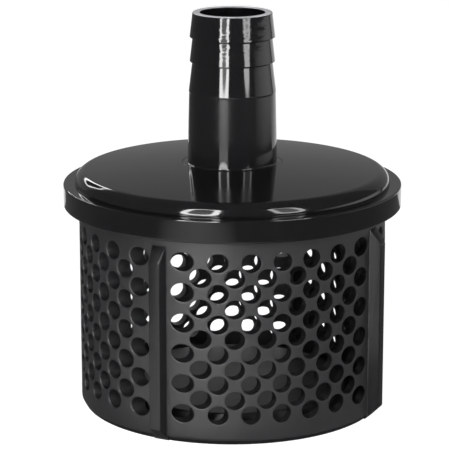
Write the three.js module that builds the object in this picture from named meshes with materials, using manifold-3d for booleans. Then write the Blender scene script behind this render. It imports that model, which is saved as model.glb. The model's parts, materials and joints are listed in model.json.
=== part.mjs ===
// Foot valve for a 25 mm suction hose: a perforated strainer basket under a domed outlet cap with a
// barbed hose tail, and a spring-loaded lift check valve hung inside the cap.
// Millimetres, +Z up along the axis of the valve. The origin is the centre of the ring it stands on.

import * as THREE from "three";
import { ConvexGeometry } from "three/addons/geometries/ConvexGeometry.js";
import { mergeVertices } from "three/addons/utils/BufferGeometryUtils.js";
import Module from "manifold-3d";

const wasm = await Module();
wasm.setup();

// Driving dimensions
const GAP = 0.3;                    // clearance between pieces that touch or are cut by each other
const SIDES = 48;                   // facets round the large turned shapes

const BASKET_RADIUS = 51;
const BASKET_WALL = 4;
const BASKET_HEIGHT = 71.8;
const FOOT_CHAMFER = { radial: 1.1, axial: 2 };
const FLOOR_THICKNESS = 3;
const PUNT = { radius: 38, top: 6.4, recess: 35 };
const BEAD = { z: 70, proud: 0.5, half: 0.5 };

const HOLE_DIAMETER = 6.1;
const HOLE_HALF_PITCH = 5;          // rows, and columns of alternate rows, are this far apart
const HOLE_ROWS = 11;
const HOLE_COLUMNS = 13;
const LOWEST_ROW = 10;
const HOLE_FACETS = 6;
const QUADRANTS = 4;

const RIB = { reach: 54.7, root: 49, topEnd: 64.7, chamferTop: 59.7, chamferFoot: 4.4 };
const RIB_HALF_WIDTH = { root: 2.6, face: 1.9 };

const RIM = { radius: 56.1, under: 67.5, top: 75, round: 0.8 };
const DOME = { radius: 52.3, edgeRound: 4.2, shoulder: 79.3, crown: 81.85 };
const CROWN_STEPS = 3;
const HUB = { radius: 28, under: 78 };
const TAIL_HOLE = 16.6;
const SKIRT_GROOVE = { inner: 46.7, top: 72.1, lip: 44.3, lipFoot: 68.8, ceiling: 75.6 };

const BORE = 10.7;
const TAIL_TIP = 131.5;
const SHANK = { root: 14.85, end: 14.3, top: 105.2 };
const BARBS = [                     // z of the ridge, its radius, and the smaller radius above the taper
  { z: 105.5, ridge: 14.4, small: 13.23 },
  { z: 115.4, ridge: 14.05, small: 13.15 },
  { z: 123.4, ridge: 14.05, small: 13.1 },
];
const TAIL_FLANGE = { radius: 20.2, under: 73.6, top: 76.7, recess: 18.9, recessTop: 75.6 };
const FUNNEL = { radius: 15.6, top: 80.5 };

const GASKET_THICKNESS = 0.7;
const CAGE = { inner: 17.5, outer: 20, flange: 28, flangeUnder: 69.6, top: 72.3, foot: 57.7, floor: 60.3 };
const PORT = 10;
const SEAT_LIP = { outer: 12, top: 61.3 };
const CAGE_SCREWS = 6;
const SCREW = { circle: 24.5, shank: 1.5, head: 3.1, headHeight: 2, socket: 1.45, tip: 78.8 };
const SCREW_BOSS = { radius: 3.9, pilotTop: 79.4 };

const GUIDE = { ringInner: 16, ringOuter: 18.6, under: 73.9, thickness: 1.4, hub: 5.8, hubTop: 78.3, arms: 3 };
const GUIDE_ARM_WIDTH = 1.8;
const BUSH = { outer: 3.3, inner: 2.2, flange: 4.2, flangeThickness: 0.6 };
const STEM = { radius: 1.9, head: 3.4, headUnder: 58.2, headHeight: 2, tip: 84 };
const WASHER = { radius: 5.5, thickness: 0.8 };
const SEAL = { radius: 13, thickness: 1.5 };
const DISC = { radius: 13.6, thickness: 2.2 };
const NUT = { acrossFlats: 7, height: 2.4 };
const SPRING = { radius: 4.9, wire: 0.3, turns: 4.5, closed: 0.85 };

// Finishes, one material for each mesh
const glossBlack = () => new THREE.MeshStandardMaterial({ color: 0x0b0b0c, roughness: 0.12, metalness: 0 });
const satinBlack = () => new THREE.MeshStandardMaterial({ color: 0x1b1c1e, roughness: 0.5, metalness: 0 });
const rubber = () => new THREE.MeshStandardMaterial({ color: 0x141414, roughness: 0.85, metalness: 0 });
const whitePlastic = () => new THREE.MeshStandardMaterial({ color: 0xd9d7cf, roughness: 0.4, metalness: 0 });
const steel = () => new THREE.MeshStandardMaterial({ color: 0xb4b6b8, roughness: 0.3, metalness: 1 });

// Closed shells to solids and back

function signedVolume(positions, indices) {
  const [a, b, c] = [new THREE.Vector3(), new THREE.Vector3(), new THREE.Vector3()];
  let sum = 0;
  for (let i = 0; i < indices.length; i += 3) {
    a.fromArray(positions, 3 * indices[i]);
    b.fromArray(positions, 3 * indices[i + 1]);
    c.fromArray(positions, 3 * indices[i + 2]);
    sum += a.dot(b.cross(c)) / 6;
  }
  return sum;
}

function solid(geometry) {
  const shell = geometry.clone();
  shell.deleteAttribute("normal");
  shell.deleteAttribute("uv");
  const merged = mergeVertices(shell, 1e-4);
  const positions = merged.attributes.position.array;
  const corners = [];
  for (let i = 0; i < merged.index.count; i += 3) {
    const [a, b, c] = merged.index.array.slice(i, i + 3);
    if (a !== b && b !== c && c !== a) corners.push(a, b, c);
  }
  if (signedVolume(positions, corners) < 0) corners.reverse();
  const mesh = new wasm.Mesh({
    numProp: 3,
    vertProperties: new Float32Array(positions),
    triVerts: new Uint32Array(corners),
  });
  return new wasm.Manifold(mesh);
}

function geometryOf(body) {
  const { vertProperties, triVerts } = body.getMesh();
  const geometry = new THREE.BufferGeometry();
  geometry.setAttribute("position", new THREE.BufferAttribute(new Float32Array(vertProperties), 3));
  geometry.setIndex(new THREE.BufferAttribute(new Uint32Array(triVerts), 1));
  geometry.computeVertexNormals();
  return geometry;
}

// A solid turned about the Z axis from an outline of [radius, z] points
function turned(outline, sides = SIDES) {
  const points = outline.map(([radius, z]) => new THREE.Vector2(radius, z));
  if (outline[0][0] > 0) points.push(points[0].clone());
  return solid(new THREE.LatheGeometry(points, sides).rotateX(Math.PI / 2));
}

function tube(inner, outer, bottom, top, sides = SIDES) {
  return turned([[inner, bottom], [outer, bottom], [outer, top], [inner, top]], sides);
}

function rod(radius, bottom, top, sides = 24) {
  const geometry = new THREE.CylinderGeometry(radius, radius, top - bottom, sides).rotateX(Math.PI / 2);
  return solid(geometry.translate(0, 0, (bottom + top) / 2));
}

function arc(centreR, centreZ, radius, fromDegrees, toDegrees, steps) {
  const points = [];
  for (let i = 0; i <= steps; i += 1) {
    const angle = THREE.MathUtils.degToRad(fromDegrees + ((toDegrees - fromDegrees) * i) / steps);
    points.push([centreR + radius * Math.cos(angle), centreZ + radius * Math.sin(angle)]);
  }
  return points;
}

function namedMesh(name, body, material) {
  const mesh = new THREE.Mesh(geometryOf(body), material);
  mesh.name = name;
  return mesh;
}

// Strainer basket: one moulding, with holes drawn straight out towards its four sides

function basketShell() {
  const inside = BASKET_RADIUS - BASKET_WALL;
  const foot = BASKET_RADIUS - FOOT_CHAMFER.radial;
  const step = PUNT.top - FLOOR_THICKNESS;
  return turned([
    [0, step], [PUNT.recess, step], [PUNT.recess + 0.6, 0],
    [foot, 0], [BASKET_RADIUS, FOOT_CHAMFER.axial],
    [BASKET_RADIUS, BEAD.z - 2 * BEAD.half], [BASKET_RADIUS + BEAD.proud, BEAD.z - BEAD.half],
    [BASKET_RADIUS + BEAD.proud, BEAD.z + BEAD.half], [BASKET_RADIUS, BEAD.z + 2 * BEAD.half],
    [BASKET_RADIUS, BASKET_HEIGHT], [inside, BASKET_HEIGHT],
    [inside, FLOOR_THICKNESS], [PUNT.radius + 1, FLOOR_THICKNESS], [PUNT.radius, PUNT.top],
    [0, PUNT.top],
  ]);
}

// One quadrant's pins lie along +X, in a staggered grid
function quadrantPins() {
  const pins = [];
  const length = BASKET_RADIUS + 2;
  for (let row = 0; row < HOLE_ROWS; row += 1) {
    for (let column = row % 2; column < HOLE_COLUMNS; column += 2) {
      const across = (column - (HOLE_COLUMNS - 1) / 2) * HOLE_HALF_PITCH;
      const start = Math.sqrt((BASKET_RADIUS - BASKET_WALL) ** 2 - across ** 2) - 4;
      const pin = new THREE.CylinderGeometry(HOLE_DIAMETER / 2, HOLE_DIAMETER / 2, length - start, HOLE_FACETS);
      pin.rotateZ(Math.PI / 2);
      pin.translate((length + start) / 2, across, LOWEST_ROW + row * HOLE_HALF_PITCH);
      pins.push(solid(pin));
    }
  }
  return pins;
}

function basketRib() {
  const section = [
    [RIB.root, 0], [RIB.reach - RIB.chamferFoot, 0], [RIB.reach, RIB.chamferFoot],
    [RIB.reach, RIB.chamferTop], [BASKET_RADIUS - 0.1, RIB.topEnd], [RIB.root, RIB.topEnd],
  ];
  const points = section.flatMap(([radius, z]) => {
    const t = (radius - RIB.root) / (RIB.reach - RIB.root);
    const half = THREE.MathUtils.lerp(RIB_HALF_WIDTH.root, RIB_HALF_WIDTH.face, t);
    return [new THREE.Vector3(radius, -half, z), new THREE.Vector3(radius, half, z)];
  });
  return solid(new ConvexGeometry(points));
}

function strainerBasket() {
  let body = basketShell();
  const pins = quadrantPins();
  for (let quadrant = 0; quadrant < QUADRANTS; quadrant += 1) {
    const turn = (360 / QUADRANTS) * quadrant;
    for (const pin of pins) body = body.subtract(pin.rotate([0, 0, turn]));
    body = body.add(basketRib().rotate([0, 0, turn + 180 / QUADRANTS]));
  }
  return body;
}

// Outlet cap: domed cover with a thick rim, a groove for the basket, and bosses for the cage screws

function domeOutline() {
  const arcCentre = DOME.radius - DOME.edgeRound;
  const crown = [];
  for (let i = 0; i <= CROWN_STEPS; i += 1) {
    const radius = THREE.MathUtils.lerp(TAIL_HOLE, arcCentre, i / CROWN_STEPS);
    crown.push([radius, crownHeight(radius)]);
  }
  const edge = arc(arcCentre, DOME.shoulder - DOME.edgeRound, DOME.edgeRound, 72, 0, 4);
  return [...crown, ...edge];
}

function crownHeight(radius) {
  const t = radius / (DOME.radius - DOME.edgeRound);
  return DOME.crown - (DOME.crown - DOME.shoulder) * t * t;
}

function capShell() {
  const skirt = BASKET_RADIUS + GAP;
  const beadRoom = skirt + BEAD.proud;
  return turned([
    [TAIL_HOLE, HUB.under],
    ...domeOutline(),
    [DOME.radius + 0.15, RIM.top + 0.3], [DOME.radius + 0.5, RIM.top],
    ...arc(RIM.radius - RIM.round, RIM.top - RIM.round, RIM.round, 90, 0, 2),
    [RIM.radius, RIM.under + 0.5], [RIM.radius - 0.5, RIM.under], [skirt, RIM.under],
    [skirt, BEAD.z - 2 * BEAD.half - GAP], [beadRoom, BEAD.z - BEAD.half - GAP],
    [beadRoom, BEAD.z + BEAD.half + GAP], [skirt, BEAD.z + 2 * BEAD.half + GAP],
    [skirt, SKIRT_GROOVE.top], [SKIRT_GROOVE.inner, SKIRT_GROOVE.top],
    [SKIRT_GROOVE.inner, SKIRT_GROOVE.lipFoot], [SKIRT_GROOVE.lip, SKIRT_GROOVE.lipFoot],
    [SKIRT_GROOVE.lip, SKIRT_GROOVE.ceiling], [HUB.radius, HUB.under],
  ]);
}

function screwPlace(index) {
  return (360 / CAGE_SCREWS) * index + 180 / CAGE_SCREWS;
}

function outletCap() {
  let body = capShell();
  for (let i = 0; i < CAGE_SCREWS; i += 1) {
    const boss = rod(SCREW_BOSS.radius, CAGE.top + GAP, HUB.under + 1, 16).translate([SCREW.circle, 0, 0]);
    const pilot = rod(SCREW.shank + GAP, CAGE.top, SCREW_BOSS.pilotTop, 8).translate([SCREW.circle, 0, 0]);
    body = body.add(boss.rotate([0, 0, screwPlace(i)]));
    body = body.subtract(pilot.rotate([0, 0, screwPlace(i)]));
  }
  return body;
}

// Hose tail: put in from inside the cap, held by its foot flange

function hoseTail() {
  const collar = TAIL_HOLE - GAP;
  const barbs = BARBS.flatMap((barb, i) => {
    const above = BARBS[i + 1]?.z ?? TAIL_TIP;
    const end = i + 1 < BARBS.length ? above - 0.35 : TAIL_TIP - 0.5;
    return [[barb.ridge, barb.z], [barb.small, end]];
  });
  return turned([
    [FUNNEL.radius, TAIL_FLANGE.recessTop], [TAIL_FLANGE.recess, TAIL_FLANGE.recessTop],
    [TAIL_FLANGE.recess, TAIL_FLANGE.under], [TAIL_FLANGE.radius, TAIL_FLANGE.under],
    [TAIL_FLANGE.radius, TAIL_FLANGE.top], [collar, TAIL_FLANGE.top],
    [collar, DOME.crown - 0.3], [SHANK.root + 0.5, DOME.crown - 0.2], [SHANK.root, DOME.crown + 0.3],
    [SHANK.end, SHANK.top],
    ...barbs,
    [BARBS.at(-1).small - 0.5, TAIL_TIP], [BORE + 0.3, TAIL_TIP], [BORE, TAIL_TIP - 0.3],
    [BORE, FUNNEL.top],
  ], 40);
}

function tailGasket() {
  const top = HUB.under - GAP;
  return tube(TAIL_HOLE + GAP, TAIL_FLANGE.radius, top - GASKET_THICKNESS, top, 32);
}

// Valve cage: cup with the port and its seat lip, screwed up under the cap

function valveCage() {
  let body = turned([
    [PORT, CAGE.foot], [CAGE.outer - 1, CAGE.foot], [CAGE.outer, CAGE.foot + 1],
    [CAGE.outer, CAGE.flangeUnder], [CAGE.flange, CAGE.flangeUnder], [CAGE.flange, CAGE.top],
    [CAGE.inner, CAGE.top], [CAGE.inner, CAGE.floor], [SEAT_LIP.outer, CAGE.floor],
    [SEAT_LIP.outer - 0.6, SEAT_LIP.top], [PORT + 0.4, SEAT_LIP.top], [PORT, SEAT_LIP.top - 0.4],
  ], 36);
  for (let i = 0; i < CAGE_SCREWS; i += 1) {
    const hole = rod(SCREW.shank + GAP, CAGE.flangeUnder - 1, CAGE.top + 1, 8);
    body = body.subtract(hole.translate([SCREW.circle, 0, 0]).rotate([0, 0, screwPlace(i)]));
  }
  return body;
}

function cageGasket() {
  const bottom = CAGE.top + GAP;
  return tube(CAGE.inner, TAIL_FLANGE.radius, bottom, bottom + GASKET_THICKNESS, 32);
}

// Socket-head screw, head down
function cageScrew(index) {
  const headTop = CAGE.flangeUnder - GAP;
  const under = headTop - SCREW.headHeight;
  const screw = turned([
    [0, under], [SCREW.head - 0.5, under], [SCREW.head, under + 0.5], [SCREW.head, headTop],
    [SCREW.shank, headTop], [SCREW.shank, SCREW.tip - 1.2], [0, SCREW.tip],
  ], 12);
  const body = screw.subtract(rod(SCREW.socket, under - 1, under + SCREW.headHeight / 2, 6));
  return body.translate([SCREW.circle, 0, 0]).rotate([0, 0, screwPlace(index)]);
}

// Stem guide: ring, arms and hub, trapped between the tail and the cage gasket

function stemGuide() {
  const top = GUIDE.under + GUIDE.thickness;
  let body = tube(GUIDE.ringInner, GUIDE.ringOuter, GUIDE.under, top, 32);
  body = body.add(tube(BUSH.outer + GAP, GUIDE.hub, GUIDE.under, GUIDE.hubTop - 1.2, 24));
  const length = GUIDE.ringInner - GUIDE.hub + 1.2;
  for (let i = 0; i < GUIDE.arms; i += 1) {
    const arm = new THREE.BoxGeometry(length, GUIDE_ARM_WIDTH, GUIDE.thickness);
    arm.translate((GUIDE.ringInner + GUIDE.hub) / 2, 0, (GUIDE.under + top) / 2);
    body = body.add(solid(arm).rotate([0, 0, (360 / GUIDE.arms) * i]));
  }
  return body;
}

function stemBush() {
  const flangeUnder = GUIDE.hubTop - 1.2 + GAP;
  return turned([
    [BUSH.inner, GUIDE.under], [BUSH.outer, GUIDE.under], [BUSH.outer, flangeUnder],
    [BUSH.flange, flangeUnder], [BUSH.flange, flangeUnder + BUSH.flangeThickness],
    [BUSH.inner, flangeUnder + BUSH.flangeThickness],
  ], 20);
}

// Poppet: disc, rubber face, washer, stem bolt and nut, which lift together

const washerBottom = STEM.headUnder + STEM.headHeight + GAP;
const sealBottom = SEAT_LIP.top + GAP;
const discBottom = sealBottom + SEAL.thickness + GAP;
const nutBottom = discBottom + DISC.thickness + GAP;
const stemHole = STEM.radius + GAP;

function stemBolt() {
  const neck = STEM.headUnder + STEM.headHeight;
  const hexHead = rod(STEM.head, STEM.headUnder, neck, 6);
  const shank = turned([
    [0, neck - 0.5], [STEM.radius, neck - 0.5], [STEM.radius, STEM.tip - 0.8],
    [STEM.radius - 0.8, STEM.tip], [0, STEM.tip],
  ], 20);
  return hexHead.add(shank);
}

function poppetDisc() {
  const top = discBottom + DISC.thickness;
  return turned([
    [stemHole, discBottom], [DISC.radius, discBottom], [DISC.radius, top - 0.8],
    [DISC.radius - 1.2, top], [stemHole, top],
  ], 32);
}

function stemNut() {
  const cornerRadius = NUT.acrossFlats / 2 / Math.cos(Math.PI / 6);
  const blank = rod(cornerRadius, nutBottom, nutBottom + NUT.height, 6);
  return blank.subtract(rod(stemHole, nutBottom - 1, nutBottom + NUT.height + 1, 20));
}

// Spring centreline: closed end turns lie flat, and the turns between rise evenly
class SpringCurve extends THREE.Curve {
  constructor(bottom, top) {
    super();
    this.bottom = bottom;
    this.top = top;
  }

  getPoint(t, target = new THREE.Vector3()) {
    const angle = 2 * Math.PI * SPRING.turns * t;
    const closed = SPRING.closed / SPRING.turns;
    const rise = THREE.MathUtils.clamp((t - closed) / (1 - 2 * closed), 0, 1);
    const lead = 2 * SPRING.wire * 1.1 * (THREE.MathUtils.clamp(t / closed, 0, 1)
      + THREE.MathUtils.clamp((t - 1 + closed) / closed, 0, 1));
    const height = this.top - this.bottom - 4 * SPRING.wire * 1.1;
    return target.set(
      SPRING.radius * Math.cos(angle),
      SPRING.radius * Math.sin(angle),
      this.bottom + lead + height * rise,
    );
  }
}

function returnSpring() {
  const bottom = nutBottom + SPRING.wire;
  const top = GUIDE.under - GAP - SPRING.wire;
  const section = new THREE.Shape();
  section.absarc(0, 0, SPRING.wire, 0, 2 * Math.PI);
  const geometry = new THREE.ExtrudeGeometry(section, {
    steps: 54,
    curveSegments: 3,
    extrudePath: new SpringCurve(bottom, top),
  });
  return solid(geometry);
}

// Assembly

const footValve = new THREE.Group();

footValve.add(
  namedMesh("strainer_basket", strainerBasket(), satinBlack()),
  namedMesh("outlet_cap", outletCap(), glossBlack()),
  namedMesh("hose_tail", hoseTail(), glossBlack()),
  namedMesh("tail_gasket", tailGasket(), rubber()),
  namedMesh("valve_cage", valveCage(), satinBlack()),
  namedMesh("cage_gasket", cageGasket(), rubber()),
  namedMesh("stem_guide", stemGuide(), satinBlack()),
  namedMesh("stem_bush", stemBush(), whitePlastic()),
  namedMesh("return_spring", returnSpring(), steel()),
  namedMesh("poppet_disc", poppetDisc(), whitePlastic()),
  namedMesh("poppet_seal", tube(stemHole, SEAL.radius, sealBottom, sealBottom + SEAL.thickness, 32), rubber()),
  namedMesh("seal_washer", tube(stemHole, WASHER.radius, washerBottom, washerBottom + WASHER.thickness, 20), steel()),
  namedMesh("stem_bolt", stemBolt(), steel()),
  namedMesh("stem_nut", stemNut(), steel()),
);

for (let i = 0; i < CAGE_SCREWS; i += 1) {
  footValve.add(namedMesh(`cage_screw_${i + 1}`, cageScrew(i), steel()));
}

export default footValve;
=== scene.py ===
import json
import math

import bmesh
import bpy
from mathutils import Matrix, Vector


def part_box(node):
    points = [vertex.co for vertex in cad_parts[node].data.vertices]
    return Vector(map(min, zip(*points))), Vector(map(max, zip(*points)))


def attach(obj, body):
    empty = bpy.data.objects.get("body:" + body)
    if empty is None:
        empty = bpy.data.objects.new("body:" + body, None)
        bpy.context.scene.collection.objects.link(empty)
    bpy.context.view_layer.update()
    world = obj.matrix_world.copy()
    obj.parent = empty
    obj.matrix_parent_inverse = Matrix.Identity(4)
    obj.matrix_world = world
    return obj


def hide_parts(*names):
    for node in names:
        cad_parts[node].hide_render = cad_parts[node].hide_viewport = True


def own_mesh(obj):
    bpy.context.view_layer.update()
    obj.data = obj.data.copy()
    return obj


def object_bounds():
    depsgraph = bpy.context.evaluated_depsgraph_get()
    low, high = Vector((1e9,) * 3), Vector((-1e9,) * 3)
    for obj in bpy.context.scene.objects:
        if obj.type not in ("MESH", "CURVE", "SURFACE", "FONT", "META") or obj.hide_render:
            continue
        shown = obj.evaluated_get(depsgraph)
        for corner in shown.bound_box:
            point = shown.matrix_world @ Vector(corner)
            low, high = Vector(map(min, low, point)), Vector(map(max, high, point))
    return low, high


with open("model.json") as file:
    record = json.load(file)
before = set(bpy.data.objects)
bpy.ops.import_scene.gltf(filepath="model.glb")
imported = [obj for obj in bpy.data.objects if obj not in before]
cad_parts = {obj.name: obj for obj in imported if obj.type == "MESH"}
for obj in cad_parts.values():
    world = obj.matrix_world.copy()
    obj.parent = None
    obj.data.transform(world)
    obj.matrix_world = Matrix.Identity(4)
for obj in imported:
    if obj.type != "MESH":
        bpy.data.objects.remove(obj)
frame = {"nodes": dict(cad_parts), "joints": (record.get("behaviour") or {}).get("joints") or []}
cad_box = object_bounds()


# Outlet cap: a domed cover moulded in gloss black plastic, with a thick rim that takes the basket's
# edge in a groove underneath. Six bosses inside it hold the screws of the valve cage.

mm = 0.001


class Wire:
    """An output socket in a node tree. Arithmetic on it adds the Math nodes that work it out."""

    def __init__(self, graph, socket):
        self.graph, self.socket = graph, socket

    def math(self, operation, *values):
        return self.graph.math(operation, self, *values)

    def __add__(self, other):
        return self.graph.math("ADD", self, other)

    def __sub__(self, other):
        return self.graph.math("SUBTRACT", self, other)

    def __rsub__(self, other):
        return self.graph.math("SUBTRACT", other, self)

    def __mul__(self, other):
        return self.graph.math("MULTIPLY", self, other)

    def __truediv__(self, other):
        return self.graph.math("DIVIDE", self, other)

    def __rtruediv__(self, other):
        return self.graph.math("DIVIDE", other, self)

    def __gt__(self, other):
        return self.graph.math("GREATER_THAN", self, other)

    def __lt__(self, other):
        return self.graph.math("LESS_THAN", self, other)

    __radd__ = __add__
    __rmul__ = __mul__


class Graph:
    """A node tree being built. node() adds one node, sets it up and gives its outputs as wires. A
    socket takes a value, a wire, or a list of wires."""

    def __init__(self, tree):
        self.tree = tree

    def node(self, kind, settings=None, sockets=None):
        made = self.tree.nodes.new(kind)
        for name, value in (settings or {}).items():
            setattr(made, name, value)
        for name, value in (sockets or {}).items():
            if isinstance(value, (Wire, list)):
                for wire in value if isinstance(value, list) else [value]:
                    self.tree.links.new(wire.socket, made.inputs[name])
            else:
                made.inputs[name].default_value = value
        return lambda output=0: Wire(self, made.outputs[output])

    def math(self, operation, *values):
        return self.node("ShaderNodeMath", {"operation": operation}, dict(enumerate(values)))()

    def vector(self, x=0, y=0, z=0):
        return self.node("ShaderNodeCombineXYZ", None, {"X": x, "Y": y, "Z": z})()

    def parts(self, vector):
        """A vector's three parts, called for by "X", "Y" or "Z"."""
        return self.node("ShaderNodeSeparateXYZ", None, {"Vector": vector})


def new_finish(name, reads="Object"):
    """An empty material, the graph of its nodes, and the coordinates that its pattern reads."""
    finish = bpy.data.materials.new(name)
    finish.use_nodes = True
    finish.node_tree.nodes.clear()
    graph = Graph(finish.node_tree)
    return finish, graph, graph.node("ShaderNodeTexCoord")(reads)


def surface(graph, sockets):
    """Ends a material's graph with its shader."""
    shader = graph.node("ShaderNodeBsdfPrincipled", None, sockets)
    graph.node("ShaderNodeOutputMaterial", None, {"Surface": shader("BSDF")})


def tint(graph, share, first, second):
    """A colour between two, each given as red, green and blue."""
    return graph.node("ShaderNodeMix", {"data_type": "RGBA"}, {
        0: share, 6: (*first, 1), 7: (*second, 1),
    })(2)


def grain(graph, place, size, detail=2.0, stretch=(1, 1, 1)):
    """Noise with grains of about one size in metres, drawn out along the axes that stretch says."""
    scaled = graph.node("ShaderNodeMapping", None, {"Vector": place, "Scale": stretch})("Vector")
    sockets = {"Vector": scaled, "Scale": 1 / size, "Detail": detail}
    return graph.node("ShaderNodeTexNoise", None, sockets)("Fac")


def bump(graph, height, depth, under=None):
    """A bump of a real depth in metres, on top of another bump where there is one."""
    sockets = {"Height": height, "Distance": depth, "Strength": 1.0}
    if under:
        sockets["Normal"] = under
    return graph.node("ShaderNodeBump", None, sockets)("Normal")


def rounded(corners, steps=6):
    """Outline points from (radius, z, fillet) corners in millimetres. Each fillet is an arc, with a
    point just before and after it that keeps the shading of the flats beside it true."""
    points = []
    for i, (radius, z, fillet) in enumerate(corners):
        here = Vector((radius, z))
        if not fillet:
            points.append(here * mm)
            continue
        back = (Vector(corners[i - 1][:2]) - here).normalized()
        ahead = (Vector(corners[(i + 1) % len(corners)][:2]) - here).normalized()
        half = back.angle(ahead) / 2
        centre = here + (back + ahead).normalized() * fillet / math.sin(half)
        start = here + back * fillet / math.tan(half) - centre
        sweep = math.pi - 2 * half
        if start.x * (here - centre).y - start.y * (here - centre).x < 0:
            sweep = -sweep
        arc = [centre + Matrix.Rotation(sweep * k / steps, 2) @ start for k in range(steps + 1)]
        held = fillet / 4
        points += [point * mm for point in (arc[0] + back * held, *arc, arc[-1] + ahead * held)]
    return points


def turned(outline, around=128):
    """A closed mesh turned about Z from an outline of (radius, z) points in metres."""
    body = bmesh.new()
    rings = []
    for radius, z in outline:
        if radius < 1e-7:
            rings.append([body.verts.new((0, 0, z))] * around)
            continue
        turns = (2 * math.pi * k / around for k in range(around))
        places = ((radius * math.cos(t), radius * math.sin(t), z) for t in turns)
        rings.append([body.verts.new(place) for place in places])
    for lower, upper in zip(rings, rings[1:] + rings[:1]):
        join_rings(body, lower, upper)
    return closed(body)


def join_rings(body, lower, upper):
    """Faces between two rings of as many points. A ring of one point over and over is a pole."""
    for k in range(len(lower)):
        corners = dict.fromkeys((lower[k - 1], lower[k], upper[k], upper[k - 1]))
        if len(corners) > 2:
            body.faces.new(corners)


def closed(body):
    """The finished mesh of a closed body, its faces pointing outwards."""
    bmesh.ops.recalc_face_normals(body, faces=body.faces)
    mesh = bpy.data.meshes.new("turned")
    body.to_mesh(mesh)
    body.free()
    return mesh


def new_tree(name, inputs):
    """A Geometry Nodes tree with a geometry and the named inputs, its graph, and its inputs."""
    tree = bpy.data.node_groups.new(name, "GeometryNodeTree")
    tree.interface.new_socket("Geometry", in_out="INPUT", socket_type="NodeSocketGeometry")
    for label, kind in inputs.items():
        tree.interface.new_socket(label, in_out="INPUT", socket_type="NodeSocket" + kind)
    tree.interface.new_socket("Geometry", in_out="OUTPUT", socket_type="NodeSocketGeometry")
    graph = Graph(tree)
    return tree, graph, graph.node("NodeGroupInput")


def end_tree(graph, geometry, finish):
    """Ends a tree with its instances made real and its material set."""
    real = graph.node("GeometryNodeRealizeInstances", None, {"Geometry": geometry})()
    coated = graph.node("GeometryNodeSetMaterial", None, {"Geometry": real, "Material": finish})()
    graph.node("NodeGroupOutput", None, {"Geometry": coated})


def grown(tree, values, mesh=None):
    """The plain mesh that a tree makes from a mesh and the values of its named inputs."""
    base = bpy.data.objects.new("base", mesh or bpy.data.meshes.new("empty"))
    bpy.context.scene.collection.objects.link(base)
    modifier = base.modifiers.new("tree", "NODES")
    modifier.node_group = tree
    for item in tree.interface.items_tree:
        if item.in_out == "INPUT" and item.name in values:
            modifier[item.identifier] = values[item.name]
    ready = base.evaluated_get(bpy.context.evaluated_depsgraph_get())
    made = bpy.data.meshes.new_from_object(ready)
    bpy.data.objects.remove(base)
    return made


def fit(name, mesh, finish, body, slot, *nodes, crease=32):
    """Puts a finished mesh in place as a piece that rides on a body and stands for CAD nodes."""
    mesh.materials.clear()
    mesh.materials.append(finish)
    mesh.shade_smooth()
    mesh.set_sharp_from_angle(angle=math.radians(crease))
    piece = bpy.data.objects.new(name, mesh)
    bpy.context.scene.collection.objects.link(piece)
    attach(piece, body)
    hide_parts(*nodes)
    return piece


def turned_copies(graph, shape, count, first_turn=0):
    """Instances of a shape at even turns about Z."""
    places = graph.node("GeometryNodeMeshLine", None, {"Count": count, "Offset": (0, 0, 0)})()
    angle = graph.node("GeometryNodeInputIndex")() * (2 * math.pi) / count + first_turn
    return graph.node("GeometryNodeInstanceOnPoints", None, {
        "Points": places, "Instance": shape, "Rotation": graph.vector(z=angle),
    })()


def round_the_axis_tree():
    """Copies of a mesh turned about Z, which a bolt circle, ribs and arms share."""
    tree, graph, given = new_tree("round_the_axis", {
        "Count": "Int", "Radius": "Float", "First turn": "Float", "Finish": "Material",
    })
    shifted = graph.node("GeometryNodeTransform", None, {
        "Geometry": given("Geometry"), "Translation": graph.vector(given("Radius")),
    })()
    copies = turned_copies(graph, shifted, given("Count"), given("First turn"))
    end_tree(graph, copies, given("Finish"))
    return tree


def joined(*meshes):
    """One mesh from several closed ones."""
    body = bmesh.new()
    for mesh in meshes:
        body.from_mesh(mesh)
    return closed(body)


def gloss_black():
    """Gloss black moulded plastic with slight sink ripples, a little dust and hair scratches."""
    finish, graph, place = new_finish("gloss_black_plastic")
    ripple = grain(graph, place, 22 * mm, 1.0)
    haze = grain(graph, place, 9 * mm, 4.0)
    hair = grain(graph, place, 0.5 * mm, 3.0, (0.15, 1.0, 1.0))
    normal = bump(graph, hair, 0.0006 * mm, bump(graph, ripple, 0.05 * mm))
    shade = tint(graph, haze, (0.0035, 0.0035, 0.0038), (0.007, 0.007, 0.0075))
    surface(graph, {
        "Base Color": shade, "Roughness": haze * 0.05 + 0.05, "IOR": 1.5, "Normal": normal,
    })
    return finish


cap_finish = gloss_black()
cap_low, cap_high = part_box("outlet_cap")
rim_radius, rim_under, crown_top = cap_high.x / mm, cap_low.z / mm, cap_high.z / mm
rim_top, ceiling = 75.0, 75.6
dome_radius, dome_edge, dome_shoulder = 52.3, 4.2, 79.3
tail_hole = 16.6
groove_outer, groove_inner, groove_top = 51.3, 46.7, 72.1
lip_inner, lip_foot = 44.3, 68.8
hub_radius, hub_under = 28.0, 78.0
boss_circle, boss_radius, boss_foot, boss_top = 24.5, 3.9, 72.6, 79.2
pilot_radius, pilot_top = 1.8, 78.9
screw_count = len([name for name in frame["nodes"] if name.startswith("cage_screw")])


def crown_outline(steps=24):
    """The crown falls as a parabola from the tail to where the dome's rounded edge takes over."""
    reach = dome_radius - dome_edge
    lost = (tail_hole / reach) ** 2
    peak = (crown_top - dome_shoulder * lost) / (1 - lost)
    radii = (tail_hole + (reach - tail_hole) * k / steps for k in range(steps + 1))
    return [Vector((radius, peak - (peak - dome_shoulder) * (radius / reach) ** 2)) * mm
            for radius in radii]


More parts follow.
